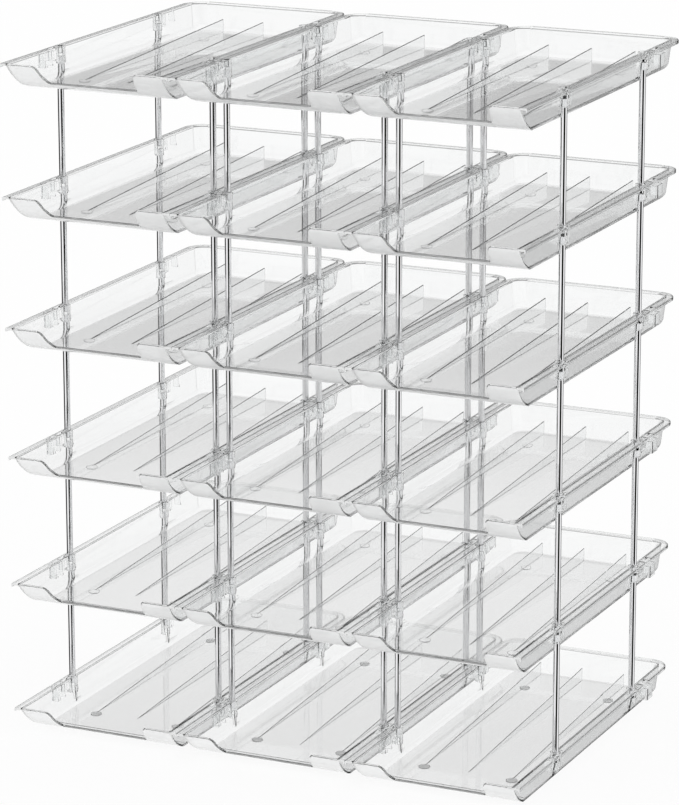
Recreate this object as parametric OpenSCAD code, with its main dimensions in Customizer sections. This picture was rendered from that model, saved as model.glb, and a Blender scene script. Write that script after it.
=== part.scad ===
// Fridge can organizer: clear moulded trays in tiers and columns, carried one
// above the other on thin bright rods and clipped together side by side.
// Millimetres, +Z up. The origin is at the middle of the footprint, on the
// surface that the feet stand on. The trays open towards -Y.

/* [Stack] */
// Columns of trays, side by side
columns = 3; // [1:1:3]
// Tiers of trays, one above the other
tiers = 6; // [2:1:6]
// Rise from one tier to the next
tier_rise = 103; // [85:1:120]
// Gap between the rims of neighbouring columns
rim_gap = 0.4; // [0.3:0.1:1]

/* [Tray] */
// Width of a tray across its rim
tray_w = 143.6; // [135:0.2:160]
// Depth of a tray, front tip to back rim
tray_d = 323; // [280:1:360]
// Height of a tray, underside of the floor to the top of the rim
tray_h = 23.5; // [20:0.5:28]
// Thickness of the floor
floor_t = 1.8; // [1.4:0.1:2.4]
// Thickness of the walls
wall_t = 1.6; // [1.2:0.1:2]
// How far a wall leans out over its height
draft = 2.4; // [1:0.1:3]
// Outside radius where a wall meets the floor
bottom_r = 6; // [4:0.5:7]

/* [Rim] */
// Width of the rim, outer edge to the inside of the wall
rim_w = 6.8; // [5.8:0.1:8]
// Thickness of the rim
rim_t = 1.5; // [1.2:0.1:2]
// Height of the lip that hangs from the outer edge of the rim, rim included
lip_h = 2.9; // [2.2:0.1:4]
// Thickness of that lip
lip_t = 1.1; // [0.8:0.1:1.4]
// Outside radius of the rim at the two back corners
corner_r = 16; // [14:0.5:22]

/* [Front] */
// Slope of the curved front wall at its tip, in degrees from the floor
scoop_angle = 57; // [50:1:65]
// Height of the low lip in the middle of the front
low_lip_h = 8.6; // [6:0.1:11]
// Width of the opening over the low lip, halfway up its S curves
opening_w = 82; // [60:1:100]
// Radius of each half of an S curve
opening_r = 5; // [3:0.5:6]

/* [Ribs and feet] */
// Spacing of the three sloping ribs
rib_gap = 36.5; // [30:0.5:42]
// Thickness of a rib
rib_t = 1.2; // [1:0.1:2]
// Height of a rib at its back end, above the underside of the floor
rib_h = 12.4; // [8:0.2:16]
// Start of the ribs behind the front tip
rib_start = 72; // [60:1:100]
// Gap from the back end of a rib to the back rim
rib_stop = 16; // [14:1:30]
// Diameter of a foot
foot_d = 9; // [6:0.5:12]
// Height of a foot
foot_h = 1.2; // [0.8:0.1:2]
// Front feet behind the front tip
foot_front = 70; // [60:1:90]
// Back feet in front of the back rim
foot_back = 51; // [40:1:70]

/* [Rods and sleeves] */
// Diameter of a rod
rod_d = 5; // [4:0.1:5.2]
// Gap all round between a rod and its socket
rod_clearance = 0.1; // [0.05:0.05:0.2]
// Depth of each socket, over and under the web in the sleeve
socket_depth = 5.6; // [4:0.2:6]
// Wall of a sleeve
sleeve_wall = 1.6; // [1.2:0.1:1.8]
// Length of a sleeve below the top of the rim
sleeve_l = 13; // [12:0.5:15]
// Height of the sleeve's collar above the rim
collar_h = 0.6; // [0.3:0.1:1.2]
// Rod centre to the outer edge of the rim
rod_inset = 5.75; // [5.2:0.05:6.5]
// Front rods behind the front tip
rod_front = 85; // [70:1:100]
// Spacing of the front and back rods
rod_span = 162; // [140:1:180]

/* [Clips] */
// Thickness of the clip walls
clip_t = 1.2; // [1:0.1:1.5]
// Height of the clips below the top of the rim
clip_h = 13; // [10:0.5:15]
// Length of the front clip box
box_l = 13; // [10:0.5:16]
// Front clip box, its near end to the front rod
box_gap = 14; // [12:0.5:18]
// Back loop, its near end to the back rod
loop_gap = 12; // [10:0.5:14]
// Length of the back loop
loop_l = 14; // [12:0.5:16]
// How far the back loop reaches past the rim, into the next tray's tab
loop_reach = 3.4; // [3:0.1:3.8]
// Clearance between a loop and the next tray's tab
clip_clearance = 0.4; // [0.3:0.1:0.6]

/* [Hidden] */
$fn = 48;
pitch = tray_w + rim_gap;
half_w = tray_w / 2;
tip_y = -tray_d / 2;
back_y = tray_d / 2;
axis_y = back_y - corner_r;
// Outer edge of the rim to the outside of the wall.
wall_edge = rim_w - wall_t;
lean = atan(draft / tray_h);
bend_steps = 8;
// The scoop is an arc that leaves the floor almost level and ends at the tip.
scoop_sink = 0.15;
arc_cross = 0.1;
scoop_r = (tray_h + scoop_sink) / (1 - cos(scoop_angle));
scoop_y = tip_y + scoop_r * sin(scoop_angle);
rod_x = half_w - rod_inset;
rod_y = [tip_y + rod_front, tip_y + rod_front + rod_span];
socket_d = rod_d + 2 * rod_clearance;
sleeve_d = socket_d + 2 * sleeve_wall;
sleeve_foot = tray_h - sleeve_l;
sleeve_top = tray_h + collar_h;
rod_l = tier_rise - (sleeve_top - sleeve_foot) + 2 * socket_depth;
rib_end_y = back_y - rib_stop;
foot_ys = [tip_y + foot_front, back_y - foot_back];
// The underside of a clip's free end stays clear of the next tray's lip.
clip_top = tray_h - lip_h - clip_clearance;
// The clips reach in to the leaning wall all the way down.
clip_bite = 0.12;
clip_root = wall_edge + draft * clip_h / tray_h + clip_bite;
// The small blocks and fins stop this far above the foot of the other clips.
short_by = 3;
// A stop block before each right sleeve, and one behind the back right sleeve.
block_gap = 0.6;
block_l = 3;
// A guard behind each front sleeve, whose outer end lies in from the rim's edge.
guard_gap = 1.2;
guard_in = 2;
// The wall that splits the clip box, and the block between the box and the sleeve.
box_split = 3.2;
stud_gap = 2.6;
stud_l = 3.8;
// Fins on both sides of the tab that the next column's loop holds.
fin_gap = 2;
tab_l = 6;
// Slots through the rim over the clips, and how far they stop short of a sleeve.
slot_w = 2.6;
slot_l = 9.2;
slot_gap = 1;
// How far a cut runs past the face that it opens.
past = 1;

COLUMN_NAMES = ["left", "middle", "right"];
CORNER_NAMES = ["front_left", "front_right", "back_left", "back_right"];
function tray_name(c, t) = str("tray_", COLUMN_NAMES[c], "_", t + 1);
function rods_name(c, k) = str("rods_", COLUMN_NAMES[c], "_", CORNER_NAMES[k]);

// The last column's loops stand out on the right, so the trays lie a little left.
function column_x(c) = (c - (columns - 1) / 2) * pitch - loop_reach / 2;
function tier_z(t) = foot_h + t * tier_rise;
// A corner's place: -1 or 1 across, and its rods' place in depth.
function corner_side(k) = k % 2 == 0 ? -1 : 1;
function corner_y(k) = rod_y[floor(k / 2)];

// Outline of the tray seen from above, inset from the edge of the rim. The
// front end is square, and ahead runs it on past the tip.
module plan_outline(inset = 0, ahead = 0) {
    r = corner_r - inset;
    half = half_w - inset;
    translate([-half, tip_y - ahead]) square([2 * half, axis_y - tip_y + ahead]);
    translate([-half + r, axis_y]) square([2 * (half - r), r]);
    for (side = [-1, 1]) translate([side * (half - r), axis_y]) circle(r);
}

// Points of an arc about (x, y), from angle a to angle b.
function arc(x, y, r, a, b, n = bend_steps) =
    [for (i = [0:n]) let (t = a + (b - a) * i / n) [x + r * cos(t), y + r * sin(t)]];

// The line of a wall from the floor up, seen along the wall. It turns out of the
// floor in an arc and leans out to x at the top of the tray, less the inset.
function wall_points(x, inset, top) = let (
    base = inset == 0 ? 0 : floor_t,
    r = bottom_r - inset,
    centre = x + (base + r - tray_h) * tan(lean) - inset - r / cos(lean)
) concat(
    arc(centre, base + r, r, -90, -lean),
    [[x + (top - tray_h) * tan(lean) - inset, top]]
);

// The tub seen from the front: both leaning side walls.
module front_outline(inset, top) {
    right = wall_points(half_w - wall_edge, inset, top);
    left = [for (i = [len(right) - 1:-1:0]) [-right[i].x, right[i].y]];
    polygon(concat(right, left));
}

// The tub seen from the side: the arc of the front and the leaning back wall.
module side_outline(inset, top) {
    base = inset == 0 ? 0 : floor_t;
    polygon(concat(
        [[scoop_y, top], [scoop_y, base]],
        wall_points(back_y - wall_edge, inset, top)
    ));
    intersection() {
        translate([scoop_y, scoop_r - scoop_sink]) circle(scoop_r - inset, $fn = 96);
        translate([scoop_y - scoop_r, base]) square([scoop_r + past, top - base]);
    }
}

// A side view drawn in y and z, made as long as the tray is wide.
module across(width) {
    translate([-width / 2, 0, 0]) rotate([90, 0, 90]) linear_extrude(width) children();
}

// The tub as a solid block, or the room in it.
module tub_block(inset = 0) {
    top = inset == 0 ? tray_h : tray_h + 2 * past;
    intersection() {
        translate([0, back_y, 0]) rotate([90, 0, 0])
            linear_extrude(tray_d + 2 * past) front_outline(inset, top);
        across(tray_w) side_outline(inset, top);
        linear_extrude(top) plan_outline(wall_edge + inset, past);
    }
}

// The opening over the low lip, seen from the front: two arcs a side. The upper
// one crosses the top edge at an angle, because a tangent leaves a sliver.
module opening_outline() {
    half = opening_w / 2;
    rise = tray_h + arc_cross;
    translate([-half, low_lip_h + opening_r]) square([2 * half, tray_h]);
    translate([-half + opening_r, low_lip_h])
        square([2 * (half - opening_r), 2 * opening_r]);
    for (side = [-1, 1]) {
        translate([side * (half - opening_r), low_lip_h + opening_r]) circle(opening_r);
        difference() {
            translate([side * (half + opening_r / 2), rise])
                square([opening_r, 2 * opening_r], center = true);
            translate([side * (half + opening_r), rise - opening_r]) circle(opening_r);
        }
    }
}

// Floor, walls and scoop, as one thin shell. The room in it leaves a post behind
// each sleeve, where the way of the rod cuts into the wall.
module tub() {
    difference() {
        tub_block();
        difference() {
            tub_block(wall_t);
            at_corners(0) cylinder(d = sleeve_d, h = tray_h + 3 * past);
        }
        translate([0, scoop_y, 0]) rotate([90, 0, 0])
            linear_extrude(scoop_y - tip_y + 5 * past) opening_outline();
    }
}

// A flat band along the sides and round the back, between two insets.
module band(outer, inner, h) {
    linear_extrude(h) difference() {
        plan_outline(outer);
        plan_outline(inner, past);
    }
}

// The rim, and the lip that hangs from its outer edge.
module rim() {
    translate([0, 0, tray_h - rim_t]) band(0, wall_edge + wall_t / 2, rim_t);
    translate([0, 0, tray_h - lip_h]) band(0, lip_t, lip_h - rim_t / 2);
}

// One sloping rib: nothing at the front, full height at its square back end.
module rib() {
    start_y = tip_y + rib_start;
    root = floor_t / 2;
    across(rib_t) polygon([
        [start_y, floor_t],
        [start_y, root],
        [rib_end_y, root],
        [rib_end_y, rib_h]
    ]);
}

module ribs() {
    for (i = [-1:1]) translate([i * rib_gap, 0, 0]) rib();
}

module feet() {
    for (side = [-1, 1], y = foot_ys)
        translate([side * rib_gap, y, -foot_h]) cylinder(d = foot_d, h = foot_h + floor_t / 2);
}

// A block hanging under the rim: near and far ends in y, and from the outer
// edge of the rim inwards in x. It reaches into the wall.
module hanging(y0, y1, x_out, x_in, top = tray_h - rim_t / 2, drop = clip_h) {
    translate([half_w - x_in, y0, tray_h - drop])
        cube([x_in - x_out, y1 - y0, top - (tray_h - drop)]);
}

// Copies of a shape at the tray's four rod places, at a height.
module at_corners(z) {
    for (k = [0:3]) translate([corner_side(k) * rod_x, corner_y(k), z]) children();
}

// The four sleeves, before their sockets are cut.
module sleeves() {
    at_corners(sleeve_foot) cylinder(d = sleeve_d, h = sleeve_top - sleeve_foot);
}

// Sockets for the rod ends, over and under the web in each sleeve. The lower one
// runs on down, so that the rod below passes the leaning wall.
module sockets() {
    at_corners(sleeve_top - socket_depth) cylinder(d = socket_d, h = socket_depth + past);
    at_corners(-past) cylinder(d = socket_d, h = sleeve_foot + socket_depth + past);
}

// The guard behind a front sleeve.
module guard() {
    start = rod_y[0] + sleeve_d / 2 + guard_gap;
    hanging(start, start + clip_t, guard_in, clip_root);
}

// The loop near the back right corner, which reaches under the next tray's rim.
module loop() {
    start = rod_y[1] + loop_gap;
    foot = tray_h - clip_h;
    difference() {
        translate([half_w - clip_root, start, foot])
            cube([clip_root + loop_reach, loop_l, clip_top - foot]);
        translate([half_w - rim_w, start + clip_t, 0])
            cube([rim_w + loop_reach - clip_t, loop_l - 2 * clip_t, tray_h]);
    }
    for (y = [start, start + loop_l - clip_t]) hanging(y, y + clip_t, lip_t, clip_root);
}

// Right side: a stop block before the front sleeve and a shorter one behind the
// back sleeve, the guard, and the loop.
module right_clips() {
    front_block = rod_y[0] - sleeve_d / 2 - block_gap;
    back_block = rod_y[1] + sleeve_d / 2 + block_gap;
    hanging(front_block - block_l, front_block, lip_t / 2, clip_root);
    hanging(back_block, back_block + block_l, guard_in, clip_root, drop = clip_h - short_by);
    guard();
    loop();
}

// Left side: the clip box, a block before the front sleeve and the guard behind
// it, and behind the back sleeve the tab that the next tray's loop holds.
module left_clips() {
    box_end = rod_y[0] - box_gap;
    loop_y = rod_y[1] + loop_gap;
    tab_y = loop_y + (loop_l - tab_l) / 2;
    mirror([1, 0, 0]) {
        for (y = [box_end - box_l, box_end - box_l + box_split, box_end - clip_t])
            hanging(y, y + clip_t, lip_t / 2, clip_root);
        hanging(box_end - box_l, box_end, lip_t / 2, lip_t / 2 + clip_t);
        hanging(box_end + stud_gap, box_end + stud_gap + stud_l, lip_t / 2, clip_root,
            drop = clip_h - short_by);
        guard();
        hanging(tab_y, tab_y + tab_l, lip_t / 2, loop_reach - rim_gap - clip_t - clip_clearance);
        for (y = [loop_y - fin_gap - clip_t, loop_y + loop_l + fin_gap])
            hanging(y, y + clip_t, lip_t / 2, clip_root, drop = clip_h - short_by);
    }
}

// A slot through the rim on the right side, from one place in depth to another.
module rim_slot(y0, y1) {
    translate([half_w - rim_w + wall_t, y0, tray_h - rim_t - past])
        cube([slot_w, y1 - y0, rim_t + 2 * past]);
}

// Relief slots over the clips, before the front sleeves and over the loop.
module rim_slots() {
    slot_end = rod_y[0] - sleeve_d / 2 - slot_gap;
    loop_y = rod_y[1] + loop_gap;
    mirror([1, 0, 0]) rim_slot(rod_y[0] - box_gap, slot_end);
    rim_slot(slot_end - block_l - slot_gap - slot_l, slot_end - block_l - slot_gap);
    rim_slot(loop_y + clip_t, loop_y + loop_l - clip_t);
}

// One tray, moulded in one piece.
module tray() {
    color([0.86, 0.88, 0.9, 0.45]) difference() {
        union() {
            tub();
            rim();
            ribs();
            feet();
            sleeves();
            right_clips();
            left_clips();
        }
        sockets();
        rim_slots();
    }
}

// One rod, standing on the web of its lower sleeve.
module rod() {
    color([0.78, 0.79, 0.8])
        translate([0, 0, sleeve_top - socket_depth]) cylinder(d = rod_d, h = rod_l);
}

// The rods of one corner of a column, one between each two tiers.
module rods(c, k) {
    for (t = [0:tiers - 2])
        translate([column_x(c) + corner_side(k) * rod_x, corner_y(k), tier_z(t)]) rod();
}

for (c = [0:columns - 1], t = [0:tiers - 1])
    translate([column_x(c), 0, tier_z(t)]) tray();
for (c = [0:columns - 1], k = [0:3])
    rods(c, k);
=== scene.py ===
import logging
import math
from dataclasses import dataclass, field
from enum import Enum

import bmesh
import bpy
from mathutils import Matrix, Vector


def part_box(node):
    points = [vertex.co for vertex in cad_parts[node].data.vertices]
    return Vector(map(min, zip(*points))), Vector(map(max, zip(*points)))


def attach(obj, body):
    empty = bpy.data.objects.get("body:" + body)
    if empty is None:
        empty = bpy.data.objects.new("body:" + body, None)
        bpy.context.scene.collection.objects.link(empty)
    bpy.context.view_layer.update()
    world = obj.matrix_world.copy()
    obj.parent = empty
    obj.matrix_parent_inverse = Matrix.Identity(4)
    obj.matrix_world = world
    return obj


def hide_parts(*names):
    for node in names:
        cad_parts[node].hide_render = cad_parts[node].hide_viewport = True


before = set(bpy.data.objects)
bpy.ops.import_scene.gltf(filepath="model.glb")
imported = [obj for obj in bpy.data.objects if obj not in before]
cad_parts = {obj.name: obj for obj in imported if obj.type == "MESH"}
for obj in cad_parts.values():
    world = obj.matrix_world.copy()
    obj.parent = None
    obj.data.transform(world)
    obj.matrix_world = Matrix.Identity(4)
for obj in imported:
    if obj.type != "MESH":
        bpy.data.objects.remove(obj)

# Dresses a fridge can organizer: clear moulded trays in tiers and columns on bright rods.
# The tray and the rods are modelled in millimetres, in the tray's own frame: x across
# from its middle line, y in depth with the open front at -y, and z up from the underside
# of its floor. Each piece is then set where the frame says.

LOG = logging.getLogger("can_organizer")
MM = 0.001

Pair = tuple[float, float]
Point = tuple[float, float, float]
Outline = list[Pair]
Ring = list[Point]
Stops = tuple[Pair, ...]
Colour = tuple[float, float, float]
Mesh = bpy.types.Mesh
Material = bpy.types.Material
Node = bpy.types.Node
Socket = bpy.types.NodeSocket


class Join(Enum):
    """How one solid is worked into another."""

    ADD = "UNION"
    CUT = "DIFFERENCE"
    KEEP = "INTERSECT"


class Column(Enum):
    """The columns of trays, by their place from the left."""

    LEFT = "left"
    MIDDLE = "middle"
    RIGHT = "right"


class Corner(Enum):
    """The four rod lines of a column: side across and end in depth."""

    FRONT_LEFT = (-1, 0)
    FRONT_RIGHT = (1, 0)
    BACK_LEFT = (-1, 1)
    BACK_RIGHT = (1, 1)

    @property
    def side(self) -> int:
        """-1 on the left and 1 on the right."""
        return self.value[0]

    @property
    def end(self) -> int:
        """0 at the front and 1 at the back."""
        return self.value[1]


class Surface(Enum):
    """The surfaces of a tray, by their place in its list of materials."""

    # The front's outside and its edges get painted light, the floor's upper face painted shade, and the feet
    # of the lowest trays painted shade.
    CLEAR = 0
    FOOT = 1
    FRONT_PAINTED_LIGHT = 2
    CUT_EDGE = 3
    LOW_EDGE = 4
    FLOOR = 5


def spread(start: float, stop: float, steps: int) -> list[float]:
    """Evenly spaced values from start to stop, both included."""
    return [start + (stop - start) * i / steps for i in range(steps + 1)]


def arc(centre: Pair, radius: float, start: float, stop: float, steps: int) -> Outline:
    """Points along a round arc, in even steps from a start to a stop angle in degrees."""
    angles = [math.radians(a) for a in spread(start, stop, steps)]
    return [(centre[0] + radius * math.cos(a), centre[1] + radius * math.sin(a)) for a in angles]


def pin(radius: float, low: float, high: float, edge: float) -> Outline:
    """Radius and height along a round pin, narrower by an edge at both ends."""
    return [(radius - edge, low), (radius, low + edge), (radius, high - edge), (radius - edge, high)]


def placed(name: str, data: bpy.types.ID) -> bpy.types.Object:
    """Puts a new object into the scene.

    Args:
        name: Its name.
        data: Its mesh or other data.

    Returns:
        The object.
    """
    made = bpy.data.objects.new(name, data)
    bpy.context.scene.collection.objects.link(made)
    return made


class Solid:
    """A closed mesh in millimetres that other solids are joined to or cut from."""

    def __init__(self, name: str, points: Ring, faces: list[list[int]]) -> None:
        """Makes the solid, with its faces turned outwards.

        Args:
            name: A plain name, for messages.
            points: Its corners.
            faces: Its faces, as indices of corners.
        """
        mesh = bpy.data.meshes.new(name)
        mesh.from_pydata(points, [], faces)
        work = bmesh.new()
        work.from_mesh(mesh)
        bmesh.ops.recalc_face_normals(work, faces=work.faces)
        work.to_mesh(mesh)
        work.free()
        self.body = placed(name, mesh)

    @classmethod
    def lofted(cls, name: str, rings: list[Ring]) -> "Solid":
        """A solid through closed rings of as many points each, flat at both ends.

        Args:
            name: A plain name.
            rings: The rings, from one end to the other.

        Returns:
            The solid.
        """
        count = len(rings[0])
        points = [p for ring in rings for p in ring]
        faces = []
        for k in range(len(rings) - 1):
            for i in range(count):
                j = (i + 1) % count
                faces.append([k * count + i, k * count + j, (k + 1) * count + j, (k + 1) * count + i])
        last = (len(rings) - 1) * count
        faces.append(list(range(count))[::-1])
        faces.append([last + i for i in range(count)])
        return cls(name, points, faces)

    @classmethod
    def upright(cls, name: str, outline: Outline, low: float, high: float) -> "Solid":
        """A solid with one outline in x and y from a low to a high level."""
        return cls.lofted(name, [[(x, y, z) for x, y in outline] for z in (low, high)])

    @classmethod
    def turned(cls, name: str, place: Pair, outline: Outline, steps: int = 32) -> "Solid":
        """A solid turned about an upright axis.

        Args:
            name: A plain name.
            place: The axis, in x and y.
            outline: Radius and height of each ring, from one end to the other.
            steps: Points in each ring.

        Returns:
            The solid.
        """
        rings = []
        for radius, height in outline:
            ring = arc(place, radius, 0, 360, steps)[:-1]
            rings.append([(x, y, height) for x, y in ring])
        return cls.lofted(name, rings)

    @classmethod
    def block(cls, name: str, low: Point, high: Point, edge: float = 0.25) -> "Solid":
        """A block with narrow rounded edges, as a moulding has.

        Args:
            name: A plain name.
            low: Its lowest corner.
            high: Its highest corner.
            edge: How far the rounding reaches from each edge.

        Returns:
            The solid.
        """
        corners = [(x, y, z) for x in (low[0], high[0]) for y in (low[1], high[1]) for z in (low[2], high[2])]
        faces = [[0, 1, 3, 2], [4, 6, 7, 5], [0, 4, 5, 1], [2, 3, 7, 6], [0, 2, 6, 4], [1, 5, 7, 3]]
        made = cls(name, corners, faces)
        if edge > 0:
            work = bmesh.new()
            work.from_mesh(made.body.data)
            bmesh.ops.bevel(work, geom=list(work.edges), offset=edge, segments=2, profile=0.5, affect="EDGES")
            work.to_mesh(made.body.data)
            work.free()
        return made

    def work(self, other: "Solid", how: Join) -> None:
        """Joins, cuts or trims this solid with another one, which is used up.

        Args:
            other: The other solid.
            how: What is done with it.
        """
        tool = self.body.modifiers.new("work", "BOOLEAN")
        tool.operation = how.value
        tool.solver = "MANIFOLD"
        tool.object = other.body
        view = bpy.context.evaluated_depsgraph_get()
        made = bpy.data.meshes.new_from_object(self.body.evaluated_get(view))
        self.body.modifiers.clear()
        old = self.body.data
        self.body.data = made
        bpy.data.meshes.remove(old)
        other.discard()

    def add(self, *others: "Solid") -> None:
        """Joins other solids to this one."""
        for other in others:
            self.work(other, Join.ADD)

    def cut(self, *others: "Solid") -> None:
        """Cuts other solids out of this one."""
        for other in others:
            self.work(other, Join.CUT)

    def discard(self) -> None:
        """Deletes the solid's object and mesh."""
        mesh = self.body.data
        bpy.data.objects.remove(self.body)
        bpy.data.meshes.remove(mesh)

    def finished(self, name: str, crease: float = 30.0, weld: float = 0.002) -> Mesh:
        """Hands the solid over as a mesh in metres, smooth apart from its edges.

        Args:
            name: The mesh's name.
            crease: The least angle between two faces that stays sharp, in degrees.
            weld: How near two corners are made one, in millimetres.

        Returns:
            The mesh.
        """
        work = bmesh.new()
        work.from_mesh(self.body.data)
        bmesh.ops.remove_doubles(work, verts=work.verts, dist=weld)
        bmesh.ops.dissolve_degenerate(work, edges=work.edges, dist=weld)
        bmesh.ops.scale(work, vec=Vector((MM, MM, MM)), verts=work.verts)
        for face in work.faces:
            face.smooth = True
        mesh = bpy.data.meshes.new(name)
        work.to_mesh(mesh)
        work.free()
        mesh.set_sharp_from_angle(angle=math.radians(crease))
        self.discard()
        return mesh


class Shades:
    """A node tree that is built up a step at a time."""

    def __init__(self, tree: bpy.types.NodeTree) -> None:
        """Starts from a tree that has its output and its first shader."""
        self.tree = tree

    def node(self, kind: str, **inputs: object) -> Node:
        """Adds a node and sets or links its inputs.

        Args:
            kind: The node's type.
            **inputs: A value or a socket for each input, with _ for a space.

        Returns:
            The node.
        """
        made = self.tree.nodes.new(kind)
        for name, value in inputs.items():
            self.give(made.inputs[name.replace("_", " ")], value)
        return made

    def give(self, socket: Socket, value: object) -> None:
        """Sets a socket to a value, or links another socket to it.

        Args:
            socket: The input that is set.
            value: Its value, or the socket that is linked to it.
        """
        if isinstance(value, Socket):
            self.tree.links.new(value, socket)
        else:
            socket.default_value = value

    def maths(self, operation: str, *terms: object) -> Socket:
        """One step of arithmetic.

        Args:
            operation: What is worked out, such as ADD or COSINE.
            *terms: Its values or sockets.

        Returns:
            The result's socket.
        """
        made = self.tree.nodes.new("ShaderNodeMath")
        made.operation = operation
        for socket, value in zip(made.inputs, terms):
            self.give(socket, value)
        return made.outputs[0]

    def ramp(self, factor: Socket, stops: Stops) -> Socket:
        """A grey level that follows a factor.

        Args:
            factor: The socket that it follows.
            stops: Places from 0 to 1 and their levels.

        Returns:
            The level's socket.
        """
        made = self.node("ShaderNodeValToRGB", Fac=factor)
        band = made.color_ramp
        while len(band.elements) < len(stops):
            band.elements.new(0.5)
        for element, (position, level) in zip(band.elements, stops):
            element.position = position
            element.color = (level, level, level, 1.0)
        return made.outputs["Color"]

    def blend(self, factor: object, first: object, second: object) -> Socket:
        """A level between two others.

        Args:
            factor: 0 for the first and 1 for the second.
            first: A value or a socket.
            second: A value or a socket.

        Returns:
            The level's socket.
        """
        made = self.tree.nodes.new("ShaderNodeMix")
        made.data_type = "FLOAT"
        for name, value in (("Factor", factor), ("A", first), ("B", second)):
            self.give(made.inputs[name], value)
        return made.outputs["Result"]


class Finish:
    """What the finishes share: a name, a colour and how their material starts."""

    name: str
    colour: Colour

    def started(self) -> tuple[Material, Shades, Node]:
        """Starts a node material in the finish's colour.

        Returns:
            The material, its node tree and its surface.
        """
        made = bpy.data.materials.new(self.name)
        made.use_nodes = True
        surface = made.node_tree.nodes["Principled BSDF"]
        surface.inputs["Base Color"].default_value = (*self.colour, 1.0)
        return made, Shades(made.node_tree), surface


@dataclass(frozen=True)
class ClearPlastic(Finish):
    """Clear moulded plastic with a relief of faint flow marks, matt in the share that it does not let
    through. The copies below change that share and the colour as painted light and shade.
    """

    name: str = "clear_plastic"
    colour: Colour = (0.955, 0.96, 0.96)
    matt_share: float = 0.0
    ior: float = 1.49
    roughness: float = 0.02
    relief_size: float = 30.0
    relief_detail: float = 3.0
    relief_strength: float = 0.5
    relief_height: float = 0.000008

    def material(self) -> Material:
        """Makes the material.

        Returns:
            A node material that lets light through.
        """
        made, shades, surface = self.started()
        surface.inputs["Transmission Weight"].default_value = 1.0 - self.matt_share
        surface.inputs["IOR"].default_value = self.ior
        surface.inputs["Roughness"].default_value = self.roughness
        place = shades.node("ShaderNodeTexCoord").outputs["Object"]
        size, detail = self.relief_size, self.relief_detail
        relief = shades.node("ShaderNodeTexNoise", Vector=place, Scale=size, Detail=detail).outputs["Fac"]
        strength, height = self.relief_strength, self.relief_height
        bump = shades.node("ShaderNodeBump", Height=relief, Strength=strength, Distance=height)
        shades.give(surface.inputs["Normal"], bump.outputs["Normal"])
        return made


@dataclass(frozen=True)
class PaintedLightFront(ClearPlastic):
    """The outside of the curved front with its ears, mostly matt and whiter than the clear plastic: painted
    light, standing in for the light that the ears catch.
    """

    name: str = "front_painted_light"
    colour: Colour = (0.9, 0.905, 0.905)
    matt_share: float = 0.7
    roughness: float = 0.08


@dataclass(frozen=True)
class PaintedHighlightEdge(ClearPlastic):
    """The narrow edge round the ears and at the ends of the rim, mostly matt white as a painted highlight."""

    name: str = "edge_painted_highlight"
    matt_share: float = 0.8
    roughness: float = 0.2


@dataclass(frozen=True)
class PaintedLightLowEdge(ClearPlastic):
    """The narrow edge of the low lip and of the walls, partly matt as a grey band of painted light."""

    name: str = "low_edge"
    matt_share: float = 0.35
    roughness: float = 0.1


@dataclass(frozen=True)
class PaintedShadeFloor(ClearPlastic):
    """The upper face of the floor and the foot of the front, darker than the walls as painted shade: the grey
    that the floor shows from what it reflects.
    """

    name: str = "floor_painted_shade"
    colour: Colour = (0.74, 0.742, 0.742)


@dataclass(frozen=True)
class FrostedFootShade(ClearPlastic):
    """The underside of a foot that bears on the shelf, with a fine moulded grain, darker and partly matt as
    painted shade where it touches the floor.
    """

    name: str = "frosted_foot_painted_shade"
    colour: Colour = (0.8, 0.81, 0.81)
    matt_share: float = 0.3
    ior: float = 1.5
    roughness: float = 0.5
    relief_size: float = 900.0
    relief_detail: float = 2.0
    relief_strength: float = 0.3
    relief_height: float = 0.0001


@dataclass(frozen=True)
class BrightPlating(Finish):
    """Bright plated steel with a faint drawn grain along the rod.

    Its roughness varies from the smoothest to the roughest share of its mean.
    """

    name: str = "bright_plating"
    colour: Colour = (0.88, 0.88, 0.89)
    roughness: float = 0.06
    smoothest: float = 0.7
    roughest: float = 1.3
    grain_size: float = 1400.0
    grain_stretch: float = 0.02

    def material(self) -> Material:
        """Makes the material.

        Returns:
            A node material, metal with a varied gloss.
        """
        made, shades, surface = self.started()
        surface.inputs["Metallic"].default_value = 1.0
        place = shades.node("ShaderNodeTexCoord").outputs["Object"]
        along = shades.node("ShaderNodeMapping", Vector=place, Scale=(1.0, 1.0, self.grain_stretch))
        grain = shades.node("ShaderNodeTexNoise", Vector=along.outputs["Vector"], Scale=self.grain_size)
        least, most = self.roughness * self.smoothest, self.roughness * self.roughest
        shades.give(surface.inputs["Roughness"], shades.blend(grain.outputs["Fac"], least, most))
        return made


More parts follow.
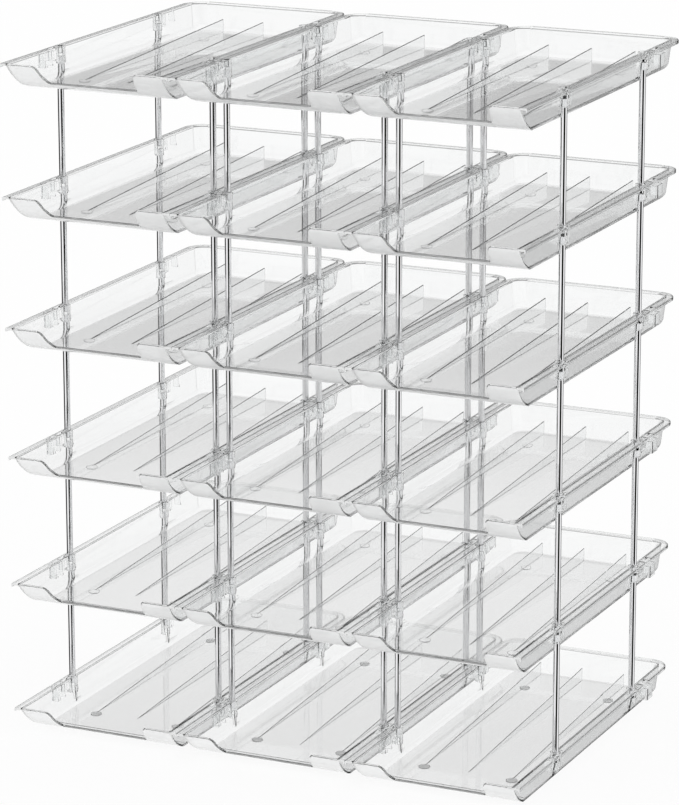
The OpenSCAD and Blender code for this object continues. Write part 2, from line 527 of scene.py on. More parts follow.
@dataclass
class Tray:
    """One clear tray, moulded in one piece. Sizes are in millimetres, angles in degrees."""

    # The tub and the rounded top edge of its walls
    width: float = 143.6
    depth: float = 323.0
    height: float = 23.5
    floor_t: float = 1.8
    wall_t: float = 1.6
    draft: float = 2.4
    bottom_r: float = 6.0
    corner_r: float = 16.0
    bead_rise: float = 0.4
    bead_crown: float = 0.3

    # The rim, the share of the wall that it reaches into, and the lip that hangs from it
    rim_w: float = 6.8
    rim_t: float = 1.5
    rim_edge_r: float = 0.5
    rim_bite: float = 0.55
    lip_h: float = 2.9
    lip_t: float = 1.1

    # The curved front, the share of its corners' radius that is left inside, and the
    # opening. The edge is given ring by ring: the place between outside and inside, and
    # how far it stands up
    scoop_angle: float = 57.0
    scoop_sink: float = 0.15
    front_corner_r: float = 1.0
    front_corner_inside: float = 0.6
    front_edge: Stops = ((0.08, 0.2), (0.26, 0.32), (0.5, 0.34), (0.74, 0.32), (0.92, 0.2))
    low_lip_h: float = 8.6
    opening_w: float = 82.0
    opening_r: float = 5.0

    # The sloping ribs, and the feet under the outer two
    rib_gap: float = 36.5
    rib_t: float = 1.2
    rib_h: float = 12.4
    rib_crest: float = 0.25
    rib_start: float = 72.0
    rib_stop: float = 16.0
    foot_d: float = 9.0
    foot_h: float = 1.2
    foot_edge: float = 0.4
    foot_front: float = 70.0
    foot_back: float = 51.0

    # The rods' places and their sleeves
    rod_d: float = 5.0
    rod_clearance: float = 0.1
    rod_inset: float = 5.75
    rod_front: float = 85.0
    rod_span: float = 162.0
    socket_depth: float = 5.6
    sleeve_wall: float = 1.6
    sleeve_l: float = 13.0
    sleeve_edge: float = 0.3
    collar_h: float = 0.6
    way_wall: float = 0.9

    # The clips under the rim: what they share, the blocks by the sleeves and the guards
    clip_t: float = 1.2
    clip_h: float = 13.0
    clip_bite: float = 0.12
    clip_clearance: float = 0.4
    short_by: float = 3.0
    block_gap: float = 0.6
    block_l: float = 3.0
    guard_gap: float = 1.2
    guard_in: float = 2.0

    # The box before the left front sleeve, and the stud between the two
    box_l: float = 13.0
    box_gap: float = 14.0
    box_split: float = 3.2
    stud_gap: float = 2.6
    stud_l: float = 3.8

    # The loop on the right, whose inner round is smaller by a share of its wall, and the
    # tab between fins that the next column's loop holds
    loop_gap: float = 12.0
    loop_l: float = 14.0
    loop_reach: float = 3.4
    loop_r: float = 2.2
    loop_inside: float = 0.8
    fin_gap: float = 2.0
    tab_l: float = 6.0

    # The slots through the rim
    slot_w: float = 2.6
    slot_l: float = 9.2
    slot_gap: float = 1.0

    # How far a cut reaches past what it cuts, and the stretches of curves and straight runs
    past: float = 1.0
    bend_steps: int = 10
    wall_steps: int = 7
    side_steps: int = 8
    back_steps: int = 3
    edge_steps: int = 5
    curve_steps: int = 7
    round_steps: int = 4
    rim_steps: int = 10
    rim_turn_steps: int = 12

    # Which faces get which finish, painted light and shade among them: levels and
    # margins, the least area that is shaded flat, and how far a face has to point a given way
    painted_light_from: float = 3.0
    lip_margin: float = 1.0
    edge_margin: float = 0.15
    floor_margin: float = 0.1
    scoop_margin: float = 0.2
    large_face: float = 15.0
    slanting: float = 0.5
    lying: float = 0.7
    facing: float = 0.9
    square_on: float = 0.93
    dead_level: float = 0.999

    def __post_init__(self) -> None:
        """Works out the places that follow from the sizes."""
        self.half_w = self.width / 2
        self.tip_y = -self.depth / 2
        self.back_y = self.depth / 2
        self.wall_edge = self.rim_w - self.wall_t
        self.lean = math.atan(self.draft / self.height)
        self.scoop_r = (self.height + self.scoop_sink) / (1 - math.cos(math.radians(self.scoop_angle)))
        self.scoop_y = self.tip_y + self.scoop_r * math.sin(math.radians(self.scoop_angle))
        self.ear_end = self.half_w - self.wall_edge - self.front_corner_r
        self.rod_x = self.half_w - self.rod_inset
        self.rod_y = (self.tip_y + self.rod_front, self.tip_y + self.rod_front + self.rod_span)
        self.socket_r = self.rod_d / 2 + self.rod_clearance
        self.sleeve_r = self.socket_r + self.sleeve_wall
        self.sleeve_foot = self.height - self.sleeve_l
        self.sleeve_top = self.height + self.collar_h
        self.clip_root = self.wall_edge + self.draft * self.clip_h / self.height + self.clip_bite
        self.box_end = self.rod_y[0] - self.box_gap
        self.loop_y = self.rod_y[1] + self.loop_gap

    def bend(self, skin: float) -> Pair:
        """The level of the floor and the radius of the bend over it, outside or inside."""
        return self.floor_t if skin else 0.0, self.bottom_r - skin

    def levels(self, skin: float) -> list[float]:
        """Heights of the tub's rings, closest in the bend over the floor.

        Args:
            skin: 0 on the outside, or the wall's thickness on the inside.

        Returns:
            Heights from the floor up, under the rounded top edge.
        """
        base, radius = self.bend(skin)
        turns = spread(0, math.pi / 2 - self.lean, self.bend_steps)
        heights = [base + radius * (1 - math.cos(a)) for a in turns]
        top = self.height + self.bead_rise - self.bead_crown
        return heights + spread(heights[-1], top, self.wall_steps)[1:]

    def wall_line(self, z: float, skin: float) -> float:
        """How far in from the outside of its top a wall stands at a height.

        Args:
            z: The height.
            skin: 0 on the outside, or the wall's thickness on the inside.

        Returns:
            The distance inwards.
        """
        base, radius = self.bend(skin)
        centre = (self.height - base - radius) * math.tan(self.lean) + skin + radius / math.cos(self.lean)
        rise = z - base
        if rise < radius * (1 - math.sin(self.lean)):
            return centre - math.sqrt(max(0.0, radius**2 - (radius - rise) ** 2))
        return (self.height - z) * math.tan(self.lean) + skin

    def scoop_line(self, z: float, skin: float) -> float:
        """The y of the curved front at a height, on the outside or the inside."""
        radius = self.scoop_r - skin
        return self.scoop_y - math.sqrt(max(0.0, radius**2 - (self.scoop_r - self.scoop_sink - z) ** 2))

    def scoop_slope(self, z: float) -> float:
        """The slope of the curved front at a height, in radians from the floor."""
        return math.acos(max(-1.0, min(1.0, 1 - (z + self.scoop_sink) / self.scoop_r)))

    def front_top(self) -> Outline:
        """The top edge of the front from the middle to the right: low lip, S curve and ear.

        Returns:
            Points in x and z.
        """
        half = self.opening_w / 2
        low, r = self.low_lip_h, self.opening_r
        lip = [(x, low) for x in spread(0, half - r, self.edge_steps)]
        rise = arc((half - r, low + r), r, -90, 0, self.curve_steps)[1:]
        crest = arc((half + r, self.height - r), r, 180, 90, self.curve_steps)
        ear = [(x, self.height) for x in spread(half + r, self.ear_end, self.edge_steps)[1:]]
        return lip + rise + crest + ear

    def ring(self, z: float, skin: float) -> Ring:
        """One closed ring of the tub, at a height on the sides and scaled to the front's edge.

        The front's edge is cut square to its sheet, so its outer corner lies lower.

        Args:
            z: The height on the sides and at the back.
            skin: 0 on the outside, or the wall's thickness on the inside.

        Returns:
            The ring's points, from the middle of the front round by the right.
        """
        base, _ = self.bend(skin)
        fraction = (z - base) / (self.levels(skin)[-1] - base)
        inwards = self.wall_line(z, skin)
        half = self.half_w - self.wall_edge - inwards
        back = self.back_y - self.wall_edge - inwards
        corner = self.front_corner_r * (self.front_corner_inside if skin else 1.0)
        round_back = self.corner_r - self.wall_edge - skin
        edge = self.front_top()
        right = []
        for i, (x, edge_z) in enumerate(edge):
            drop = 0.0 if skin else self.wall_t * math.cos(self.scoop_slope(edge_z))
            height = base + fraction * (edge_z - drop - base)
            even = i / (len(edge) - 1) * (half - corner)
            at_top = x * (half - corner) / self.ear_end
            across = even + (at_top - even) * math.sqrt(fraction)
            right.append((across, self.scoop_line(height, skin), height))
        y_front = self.scoop_line(z, skin)
        turn = arc((half - corner, y_front + corner), corner, -90, 0, self.round_steps)[1:]
        right += [(x, y, z) for x, y in turn]
        right += [(half, y, z) for y in spread(y_front + corner, back - round_back, self.side_steps)[1:]]
        turn = arc((half - round_back, back - round_back), round_back, 0, 90, self.bend_steps)[1:]
        right += [(x, y, z) for x, y in turn]
        right += [(x, back, z) for x in spread(half - round_back, 0, self.back_steps)[1:]]
        left = [(-x, y, height) for x, y, height in reversed(right[1:-1])]
        return right + left

    def bead(self, outer: Ring, inner: Ring) -> list[Ring]:
        """Rings over the top edge, between the outer and the inner skin.

        The walls' edge is rounded, and the front's is nearly flat.

        Args:
            outer: The top ring of the outside.
            inner: The top ring of the inside.

        Returns:
            The rings between, outside first.
        """
        rings = []
        for angle, flat in zip(spread(0, math.pi, len(self.front_edge) + 1)[1:-1], self.front_edge):
            ring = []
            for a, b in zip(outer, inner):
                share, lift = (1 - math.cos(angle)) / 2, self.bead_crown * math.sin(angle)
                up = (0.0, 0.0, 1.0)
                if a[1] < self.scoop_y and abs(a[0]) < self.ear_end:
                    slope = self.scoop_slope(a[2])
                    up = (0.0, -math.cos(slope), math.sin(slope))
                    share, lift = flat
                ring.append(tuple(a[k] + (b[k] - a[k]) * share + up[k] * lift for k in range(3)))
            rings.append(ring)
        return rings

    def tub(self) -> Solid:
        """Makes the floor, the walls and the curved front, as one thin shell.

        Returns:
            The solid.
        """
        outer = [self.ring(z, 0.0) for z in self.levels(0.0)]
        inner = [self.ring(z, self.wall_t) for z in self.levels(self.wall_t)]
        return Solid.lofted("tub", outer + self.bead(outer[-1], inner[-1]) + inner[::-1])

    def tub_block(self) -> Solid:
        """The same outside as one full block, used to trim what stands in the wall."""
        rings = [self.ring(z, 0.0) for z in self.levels(0.0)]
        return Solid.lofted("tub_block", rings)

    def rim_section(self) -> Outline:
        """The rim's section.

        Returns:
            Points, as distance in from the rim's outer edge and height.
        """
        top, low = self.height, self.height - self.lip_h
        under = top - self.rim_t
        root = self.rim_w - self.wall_t * self.rim_bite
        r, lip_r, steps = self.rim_edge_r, self.lip_t / 2, self.round_steps
        edge = arc((r, top - r), r, 90, 180, steps)
        foot = arc((lip_r, low + lip_r), lip_r, 180, 360, steps)
        nook = arc((self.lip_t + r, under - r), r, 180, 90, steps - 1)
        return [(root, top)] + edge + foot + nook + [(root, under)]

    def rim(self) -> Solid:
        """Makes the rim along both sides and round the back, with its hanging lip.

        Returns:
            The solid.
        """
        section = self.rim_section()
        axis_y = self.back_y - self.corner_r
        reach = self.half_w - self.corner_r
        rings = []
        for y in spread(self.tip_y, axis_y, self.rim_steps)[:-1]:
            rings.append([(self.half_w - u, y, z) for u, z in section])
        for a in spread(0, math.pi / 2, self.rim_turn_steps):
            across, along = math.cos(a), math.sin(a)
            radii = [(self.corner_r - u, z) for u, z in section]
            rings.append([(reach + r * across, axis_y + r * along, z) for r, z in radii])
        rings.append([(0.0, self.back_y - u, z) for u, z in section])
        mirrored = [[(-x, y, z) for x, y, z in ring] for ring in reversed(rings[:-1])]
        return Solid.lofted("rim", rings + mirrored)

    def rib(self, x: float) -> Solid:
        """Makes a sloping rib with a slightly rounded crest.

        Args:
            x: Where its middle line stands.

        Returns:
            The solid.
        """
        root, half = self.floor_t / 2, self.rib_t / 2
        ends = [
            (self.tip_y + self.rib_start, self.floor_t + self.rib_crest),
            (self.back_y - self.rib_stop, self.rib_h),
        ]
        rings = []
        for y, crest in ends:
            shoulder = crest - self.rib_crest
            right = [(half, root), (half, shoulder), (half / 2, crest)]
            section = [(-half, root)] + right + [(-half / 2, crest), (-half, shoulder)]
            rings.append([(x + across, y, z) for across, z in section])
        return Solid.lofted("rib", rings)

    def feet(self) -> list[Solid]:
        """Makes four low round feet under the outer ribs.

        Returns:
            The solids.
        """
        r, edge = self.foot_d / 2, self.foot_edge
        outline = [(r - edge, -self.foot_h), (r, -self.foot_h + edge), (r, self.floor_t / 2)]
        ys = (self.tip_y + self.foot_front, self.back_y - self.foot_back)
        return [Solid.turned("foot", (side * self.rib_gap, y), outline) for side in (-1, 1) for y in ys]

    def rod_places(self) -> list[Pair]:
        """The four places of the rods, in x and y."""
        return [(corner.side * self.rod_x, self.rod_y[corner.end]) for corner in Corner]

    def ways(self) -> list[Solid]:
        """Makes the thin wall round the way of each rod, where it cuts into the tub's wall.

        Returns:
            The solids, trimmed to the tub's outside.
        """
        r = self.socket_r + self.way_wall
        made = []
        for place in self.rod_places():
            way = Solid.turned("way", place, [(r, self.floor_t / 2), (r, self.sleeve_foot + self.past)])
            way.work(self.tub_block(), Join.KEEP)
            made.append(way)
        return made

    def sleeves(self) -> list[Solid]:
        """The sleeves for the rod ends, with narrow rounded edges and a low collar on the rim."""
        outline = pin(self.sleeve_r, self.sleeve_foot, self.sleeve_top, self.sleeve_edge)
        return [Solid.turned("sleeve", place, outline) for place in self.rod_places()]

    def sockets(self) -> list[Solid]:
        """Makes what is cut out for the rods, over and under the web in each sleeve.

        Returns:
            The solids.
        """
        r, low, top, edge = self.socket_r, self.sleeve_foot, self.sleeve_top, self.sleeve_edge
        over = [(r, top - self.socket_depth), (r, top - edge), (r + edge + self.past, top + self.past)]
        under = [(r, -self.past), (r, low + self.socket_depth)]
        return [Solid.turned("socket", place, line) for place in self.rod_places() for line in (over, under)]

    def hanging(self, side: int, y: Pair, u: Pair, drop: float) -> Solid:
        """A block that hangs under the rim.

        Args:
            side: -1 on the left and 1 on the right.
            y: Its near and far ends.
            u: Its outer and inner ends, in from the edge of the rim.
            drop: How far it reaches below the top of the rim.

        Returns:
            The solid.
        """
        ends = sorted((side * (self.half_w - u[0]), side * (self.half_w - u[1])))
        high = self.height - self.rim_t / 2
        return Solid.block("clip", (ends[0], y[0], self.height - drop), (ends[1], y[1], high))

    def guard(self, side: int) -> Solid:
        """The guard behind a front sleeve."""
        start = self.rod_y[0] + self.sleeve_r + self.guard_gap
        return self.hanging(side, (start, start + self.clip_t), (self.guard_in, self.clip_root), self.clip_h)

    def right_clips(self) -> list[Solid]:
        """Makes the blocks by the right sleeves, the guard, and the loop that reaches the next column.

        Returns:
            The solids.
        """
        drop, root = self.clip_h, self.clip_root
        before = self.rod_y[0] - self.sleeve_r - self.block_gap
        behind = self.rod_y[1] + self.sleeve_r + self.block_gap
        near, far = self.loop_y, self.loop_y + self.loop_l
        return [
            self.hanging(1, (before - self.block_l, before), (self.lip_t / 2, root), drop),
            self.hanging(1, (behind, behind + self.block_l), (self.guard_in, root), drop - self.short_by),
            self.guard(1),
            self.loop(near, far),
            self.hanging(1, (near, near + self.clip_t), (self.lip_t, root), drop),
            self.hanging(1, (far - self.clip_t, far), (self.lip_t, root), drop),
        ]

    def loop(self, near: float, far: float) -> Solid:
        """The open loop near the back corner, round at its free end.

        Args:
            near: The y of its near end.
            far: The y of its far end.

        Returns:
            The solid.
        """
        t, r = self.clip_t, self.loop_r
        root, end = self.half_w - self.clip_root, self.half_w + self.loop_reach
        low, top = self.height - self.clip_h, self.height - self.lip_h - self.clip_clearance
        steps = self.edge_steps
        outside = [(root, near)] + arc((end - r, near + r), r, -90, 0, steps)
        outside += arc((end - r, far - r), r, 0, 90, steps) + [(root, far)]
        q = r - t * self.loop_inside
        inside = [(root + t, near + t)] + arc((end - t - q, near + t + q), q, -90, 0, steps)
        inside += arc((end - t - q, far - t - q), q, 0, 90, steps) + [(root + t, far - t)]
        made = Solid.upright("loop", outside, low, top)
        made.cut(Solid.upright("room", inside, low - self.past, top + self.past))
        return made

    def left_clips(self) -> list[Solid]:
        """Makes the clip box and stud before the front sleeve, the guard, and the tab between its fins.

        Returns:
            The solids.
        """
        t, drop, root = self.clip_t, self.clip_h, self.clip_root
        edge = self.lip_t / 2
        end = self.box_end
        start = end - self.box_l
        walls = (start, start + self.box_split, end - t)
        made = [self.hanging(-1, (y, y + t), (edge, root), drop) for y in walls]
        stud = end + self.stud_gap
        tab = self.loop_y + (self.loop_l - self.tab_l) / 2
        tab_in = self.loop_reach - 2 * self.clip_clearance - t
        made += [
            self.hanging(-1, (start, end), (edge, edge + t), drop),
            self.hanging(-1, (stud, stud + self.stud_l), (edge, root), drop - self.short_by),
            self.guard(-1),
            self.hanging(-1, (tab, tab + self.tab_l), (edge, tab_in), drop),
        ]
        fins = (self.loop_y - self.fin_gap - t, self.loop_y + self.loop_l + self.fin_gap)
        made += [self.hanging(-1, (y, y + t), (edge, root), drop - self.short_by) for y in fins]
        return made

    def slots(self) -> list[Solid]:
        """Makes what is cut out of the rim over the clips.

        Returns:
            The solids.
        """
        x = self.half_w - self.rim_w + self.wall_t
        low, high = self.height - self.rim_t - self.past, self.height + self.past
        slot_end = self.rod_y[0] - self.sleeve_r - self.slot_gap
        before = slot_end - self.block_l - self.slot_gap
        stretches = [
            (-1, self.box_end, slot_end),
            (1, before - self.slot_l, before),
            (1, self.loop_y + self.clip_t, self.loop_y + self.loop_l - self.clip_t),
        ]
        made = []
        for side, y0, y1 in stretches:
            ends = sorted((side * x, side * (x + self.slot_w)))
            made.append(Solid.block("slot", (ends[0], y0, low), (ends[1], y1, high), 0.0))
        return made

    def surface_at(self, centre: Vector, normal: Vector) -> Surface:
        """Which surface a face belongs to.

        Args:
            centre: The face's centre, in millimetres.
            normal: Its direction.

        Returns:
            The surface.
        """
        _, y, z = centre
        if z < -self.foot_h / 2:
            return Surface.FOOT
        # The square end of the front at its tip gets a painted highlight.
        at_tip = y < self.tip_y + self.edge_margin and z > self.height - self.lip_h
        if at_tip and normal.y < -self.facing:
            return Surface.CUT_EDGE
        # The walls' top edge behind the front gets a grey band of painted light.
        behind = y > self.scoop_y
        if behind and self.edge_margin < z - self.height < self.bead_rise + self.floor_margin:
            return Surface.LOW_EDGE
        near = self.scoop_margin
        reach = math.hypot(y - self.scoop_y, z - self.scoop_r + self.scoop_sink)
        inside = abs(reach - self.scoop_r + self.wall_t) < near
        low_scoop = y < self.scoop_y and z < self.low_lip_h and inside
        # The floor's upper face and the foot of the front get a darker colour as painted shade.
        if normal.z > self.lying and (low_scoop or abs(z - self.floor_t) < self.floor_margin):
            return Surface.FLOOR
        on_scoop = y < self.scoop_y and self.scoop_r - self.wall_t - near < reach < self.scoop_r + near
        if on_scoop and abs(normal.x) < self.slanting and z > self.painted_light_from:
            slope = self.scoop_slope(z)
            square = normal.z * math.sin(slope) - normal.y * math.cos(slope)
            # The front's square-cut edge: a painted highlight over the low lip, and a grey band of painted
            # light on the lip.
            if square > self.square_on:
                return Surface.CUT_EDGE if z > self.low_lip_h + self.lip_margin else Surface.LOW_EDGE
            # The front's outside with its ears gets a mostly matt, whiter finish as painted light.
            if square < self.slanting and reach > self.scoop_r - near:
                return Surface.FRONT_PAINTED_LIGHT
        return Surface.CLEAR

    def mesh(self) -> Mesh:
        """Joins the tray's parts into one solid.

        Returns:
            The tray's mesh, in metres, with its finishes.
        """
        tray = self.tub()
        tray.add(*self.ways(), self.rim())
        tray.add(*[self.rib(i * self.rib_gap) for i in (-1, 0, 1)])
        tray.add(*self.feet(), *self.sleeves(), *self.right_clips(), *self.left_clips())
        tray.cut(*self.sockets(), *self.slots())
        made = tray.finished("clear_tray")
        self.dress(made)
        return made

    def dress(self, mesh: Mesh) -> None:
        """Gives each face its finish, and shades the large flat ones flat.

        Args:
            mesh: The tray's mesh.
        """
        clear = ClearPlastic().material()
        # Apart from the clear plastic, these finishes are painted light and shade on the same plastic.
        finishes = {
            Surface.CLEAR: clear,
            Surface.FOOT: clear,
            Surface.FRONT_PAINTED_LIGHT: PaintedLightFront().material(),
            Surface.CUT_EDGE: PaintedHighlightEdge().material(),
            Surface.LOW_EDGE: PaintedLightLowEdge().material(),
            Surface.FLOOR: PaintedShadeFloor().material(),
        }
        for surface in Surface:
            mesh.materials.append(finishes[surface])
        for face in mesh.polygons:
            centre, normal = face.center / MM, face.normal
            face.material_index = self.surface_at(centre, normal).value
            flat = abs(normal.x) > self.facing or abs(normal.z) > self.dead_level
            if face.area > self.large_face * MM**2 and (flat or centre.y > self.scoop_y):
                face.use_smooth = False


@dataclass
class RodLine:
    """The rods of one line, one between each two tiers. Sizes are in millimetres."""

    diameter: float
    foot: float
    length: float
    rise: float
    count: int
    edge: float = 0.4
    steps: int = 48

    def mesh(self) -> Mesh:
        """Makes the line of rods, standing on the web of the lowest sleeve.

        Returns:
            The mesh, in metres, with its plating.
        """
        rods = []
        for k in range(self.count):
            low = self.foot + k * self.rise
            outline = pin(self.diameter / 2, low, low + self.length, self.edge)
            rods.append(Solid.turned("rod", (0.0, 0.0), outline, self.steps))
        line = rods[0]
        line.add(*rods[1:])
        made = line.finished("rod_line")
        made.materials.append(BrightPlating().material())
        return made


@dataclass
class Organizer:
    """The whole stack, set out from the frame's nodes."""

    tray: Tray = field(default_factory=Tray)

    def __post_init__(self) -> None:
        """Counts the tiers."""
        self.tiers = sum(1 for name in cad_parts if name.startswith("tray_left_"))

    def tray_place(self, node: str) -> Vector:
        """The origin of a tray in the frame, in metres.

        Args:
            node: The tray's node.

        Returns:
            The middle of its rim's width and depth, at the underside of its floor.
        """
        low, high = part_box(node)
        x = low[0] + self.tray.half_w * MM
        y = (low[1] + high[1]) / 2
        return Vector((x, y, low[2] + self.tray.foot_h * MM))

    def put(self, name: str, mesh: Mesh, place: Vector, node: str) -> bpy.types.Object:
        """Puts one piece in place of its node.

        Args:
            name: The piece's name.
            mesh: Its mesh.
            place: Where its origin goes.
            node: The node that it stands for.

        Returns:
            The piece.
        """
        piece = placed(name, mesh)
        piece.location = place
        bpy.context.view_layer.update()
        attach(piece, "root")
        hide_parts(node)
        LOG.info("%s stands for %s", name, node)
        return piece

    def trays(self) -> None:
        """Builds the trays, which share one mesh; only the lowest ones bear on their feet, whose undersides
        get painted shade where they touch the floor.
        """
        mesh = self.tray.mesh()
        LOG.info("tray mesh: %d faces", len(mesh.polygons))
        foot_shade = FrostedFootShade().material()
        for column in Column:
            for tier in range(1, self.tiers + 1):
                node = f"tray_{column.value}_{tier}"
                piece = self.put(f"clear_{node}", mesh, self.tray_place(node), node)
                # The feet of the lowest trays get a darker, partly matt finish as painted contact shade.
                if tier == 1:
                    slot = piece.material_slots[Surface.FOOT.value]
                    slot.link = "OBJECT"
                    slot.material = foot_shade

    def rod_line(self) -> RodLine:
        """Works out the rods of a line from the trays' places and the line's height.

        Returns:
            The line.
        """
        foot = self.tray.sleeve_top - self.tray.socket_depth
        rise = (self.tray_place("tray_left_2").z - self.tray_place("tray_left_1").z) / MM
        low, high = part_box("rods_left_front_left")
        length = (high[2] - low[2]) / MM - (self.tiers - 2) * rise
        return RodLine(self.tray.rod_d, foot, length, rise, self.tiers - 1)

    def rods(self) -> None:
        """Builds the rod lines, which share one mesh."""
        mesh = self.rod_line().mesh()
        for column in Column:
            base = self.tray_place(f"tray_{column.value}_1")
            for corner in Corner:
                node = f"rods_{column.value}_{corner.name.lower()}"
                offset = Vector((corner.side * self.tray.rod_x, self.tray.rod_y[corner.end], 0.0)) * MM
                self.put(f"bright_{node}", mesh, base + offset, node)


@dataclass
class Camera:
    """The camera at the photograph's viewing angle. Angles are in degrees, places in metres."""

    azimuth: float = 25.044
    elevation: float = 15.165
    roll: float = 0.077
    distance: float = 3.1115
    aim: Point = (-0.00658, -0.00525, 0.25972)
    lens: float = 176.8
    farthest: float = 50.0

    def build(self) -> None:
        """Sets the camera up."""
        data = bpy.data.cameras.new("camera")
        data.lens = self.lens
        data.clip_end = self.farthest
        camera = placed("camera", data)
        a, e = math.radians(self.azimuth), math.radians(self.elevation)
        back = Vector((math.sin(a) * math.cos(e), -math.cos(a) * math.cos(e), math.sin(e)))
        camera.rotation_euler = back.to_track_quat("Z", "Y").to_euler()
        camera.rotation_euler.rotate_axis("Z", math.radians(-self.roll))
        camera.location = Vector(self.aim) + back * self.distance
        bpy.context.scene.camera = camera


@dataclass
class Floor:
    """The pale floor: white to the camera, open to reflections and through the plastic."""

    radius: float = 9.0
    sink: float = 0.0002
    steps: int = 64
    colour: Colour = (0.9, 0.9, 0.9)
    roughness: float = 0.9
    glow_share: float = 0.93

    def build(self) -> None:
        """Lays the floor."""
        mesh = bpy.data.meshes.new("floor")
        ring = [(x, y, 0.0) for x, y in arc((0.0, 0.0), self.radius, 0, 360, self.steps)[:-1]]
        mesh.from_pydata(ring, [], [list(range(len(ring)))])
        floor = placed("floor", mesh)
        floor.location.z = -self.sink
        mesh.materials.append(self.material())

    def material(self) -> Material:
        """Makes the floor's material.

        Returns:
            A matt white that mostly glows, and that reflected and refracted rays pass.
        """
        made = bpy.data.materials.new("pale_floor")
        made.use_nodes = True
        tree = made.node_tree
        shades = Shades(tree)
        matt = tree.nodes["Principled BSDF"]
        matt.inputs["Base Color"].default_value = (*self.colour, 1.0)
        matt.inputs["Roughness"].default_value = self.roughness
        matt.inputs["Specular IOR Level"].default_value = 0.0
        path = shades.node("ShaderNodeLightPath")
        glow = shades.node("ShaderNodeEmission")
        lit = shades.node("ShaderNodeMixShader", Fac=self.glow_share)
        shades.give(lit.inputs[1], matt.outputs["BSDF"])
        shades.give(lit.inputs[2], glow.outputs["Emission"])
        open_floor = shades.node("ShaderNodeBsdfTransparent")
        whole = shades.node("ShaderNodeMixShader", Fac=path.outputs["Is Glossy Ray"])
        shades.give(whole.inputs[1], lit.outputs["Shader"])
        shades.give(whole.inputs[2], open_floor.outputs["BSDF"])
        shades.give(tree.nodes["Material Output"].inputs["Surface"], whole.outputs["Shader"])
        return made


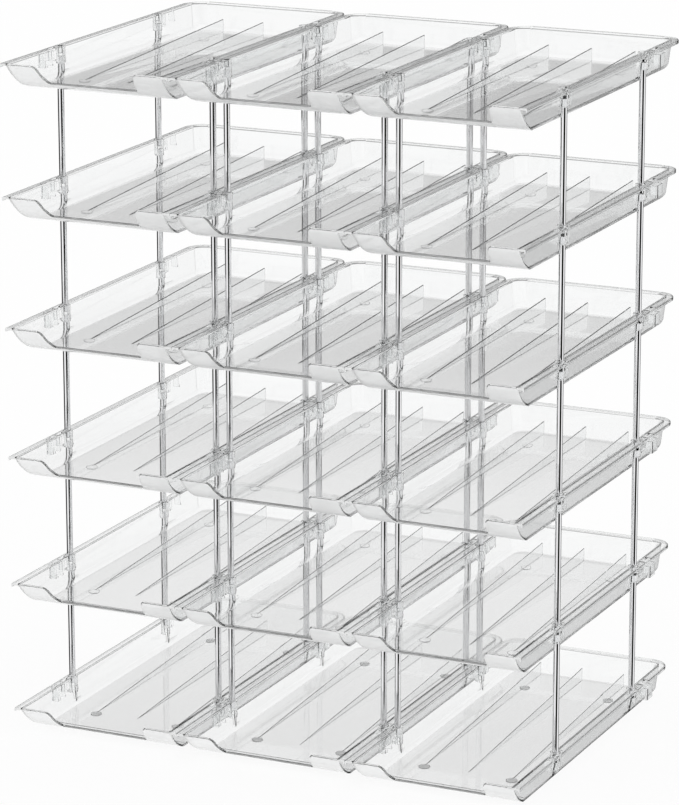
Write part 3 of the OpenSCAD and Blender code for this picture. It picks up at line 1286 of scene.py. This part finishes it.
@dataclass
class Surroundings:
    """The studio round the object, by direction. Levels run from 0, black, to 1, white.

    Diffuse light is an even white. Reflections see a white backdrop with darker flags,
    which draw the edges and the stripes on the rods. The plastic lets light through
    from every side.
    """

    # The heading of the axis, in degrees, which the flags are set out from
    axis: float = -65.0

    # Over the horizon, at the ends of the axis and at its sides: the direction's height
    # from 0 to 1, and the level there
    ends: Stops = (
        (0.0, 1.0), (0.05, 1.0), (0.11, 0.3), (0.19, 0.3), (0.215, 0.45), (0.25, 0.45),
        (0.285, 0.85), (0.31, 0.85), (0.345, 0.6), (0.42, 0.95), (1.0, 1.0),
    )
    sides: Stops = ((0.0, 0.85), (0.05, 0.7), (0.12, 0.12), (0.6, 0.1), (0.8, 0.9), (1.0, 1.0))

    # Under the horizon: degrees round from the axis, and the level there
    left: Stops = ((-172.0, 1.0), (-166.0, 0.03), (-72.0, 0.03), (-68.0, 1.0), (-12.0, 1.0), (-8.0, 0.0))
    right: Stops = ((50.0, 0.0), (54.0, 1.0), (98.0, 1.0), (106.0, 0.2))
    behind: Stops = ((138.0, 0.2), (144.0, 0.08), (166.0, 0.08), (172.0, 1.0))

    # The height down to which the flags reach, and the least level through the plastic
    flag_foot: float = -0.55
    seen_through: float = 0.7

    # The flags fade to white from this bounce on, over this many bounces
    clear_depth: float = 4.0
    clear_fade: float = 3.0

    def build(self) -> None:
        """Makes the world."""
        world = bpy.data.worlds.new("studio")
        bpy.context.scene.world = world
        world.use_nodes = True
        tree = world.node_tree
        shades = Shades(tree)
        place = shades.node("ShaderNodeTexCoord")
        split = shades.node("ShaderNodeSeparateXYZ", Vector=place.outputs["Generated"])
        height = split.outputs["Z"]
        heading = shades.maths("ARCTAN2", split.outputs["Y"], split.outputs["X"])
        turn = shades.maths("SUBTRACT", heading, math.radians(self.axis))
        above = self.above(shades, height, turn)
        below = self.below(shades, height, turn)
        staged = shades.blend(shades.maths("GREATER_THAN", height, 0.0), below, above)
        path = shades.node("ShaderNodeLightPath")
        seen = shades.maths("MAXIMUM", path.outputs["Is Glossy Ray"], path.outputs["Is Transmission Ray"])
        past = shades.maths("SUBTRACT", path.outputs["Ray Depth"], self.clear_depth)
        faded = shades.maths("DIVIDE", past, self.clear_fade)
        faded.node.use_clamp = True
        near = shades.maths("MULTIPLY", seen, shades.maths("SUBTRACT", 1.0, faded))
        level = shades.blend(near, 1.0, staged)
        backdrop = tree.nodes["Background"]
        shades.give(backdrop.inputs["Color"], level)
        backdrop.inputs["Strength"].default_value = 1.0

    def above(self, shades: Shades, height: Socket, turn: Socket) -> Socket:
        """The level over the horizon, blended by the square of the turn's sine.

        Args:
            shades: The world's tree.
            height: The direction's height.
            turn: Its angle from the axis.

        Returns:
            The level's socket.
        """
        wave = shades.maths("COSINE", shades.maths("MULTIPLY", turn, 2.0))
        side = shades.maths("MULTIPLY_ADD", wave, -0.5, 0.5)
        return shades.blend(side, shades.ramp(height, self.ends), shades.ramp(height, self.sides))

    def below(self, shades: Shades, height: Socket, turn: Socket) -> Socket:
        """The level under the horizon: flags in reflections, and light through the plastic.

        Args:
            shades: The world's tree.
            height: The direction's height.
            turn: Its angle from the axis.

        Returns:
            The level's socket.
        """
        wrapped = shades.maths("WRAP", turn, math.pi, -math.pi)
        around = shades.maths("MULTIPLY_ADD", wrapped, 0.5 / math.pi, 0.5)
        stops = tuple((0.5 + angle / 360, level) for angle, level in self.left + self.right + self.behind)
        steep = shades.maths("LESS_THAN", height, self.flag_foot)
        refracted = shades.node("ShaderNodeLightPath").outputs["Is Transmission Ray"]
        least = shades.maths("MAXIMUM", steep, shades.maths("MULTIPLY", refracted, self.seen_through))
        return shades.maths("MAXIMUM", shades.ramp(around, stops), least)


def set_light_paths(bounces: int = 24, gloss: int = 6, matt: int = 3) -> None:
    """Lets light pass through all the trays that stand behind each other.

    Args:
        bounces: How many surfaces a ray may meet.
        gloss: How many of them may be reflections.
        matt: How many of them may be matt.
    """
    cycles = bpy.context.scene.cycles
    cycles.max_bounces = bounces
    cycles.transmission_bounces = bounces
    cycles.glossy_bounces = gloss
    cycles.diffuse_bounces = matt


def main() -> None:
    """Builds the studio and the organizer."""
    logging.basicConfig(level=logging.INFO, format="%(name)s: %(message)s")
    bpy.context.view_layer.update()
    for part in (Camera(), Floor(), Surroundings()):
        part.build()
        LOG.info("%s set up", type(part).__name__)
    set_light_paths()
    bpy.context.scene.view_settings.view_transform = "Standard"
    organizer = Organizer()
    organizer.trays()
    organizer.rods()


if __name__ == "__main__":
    main()
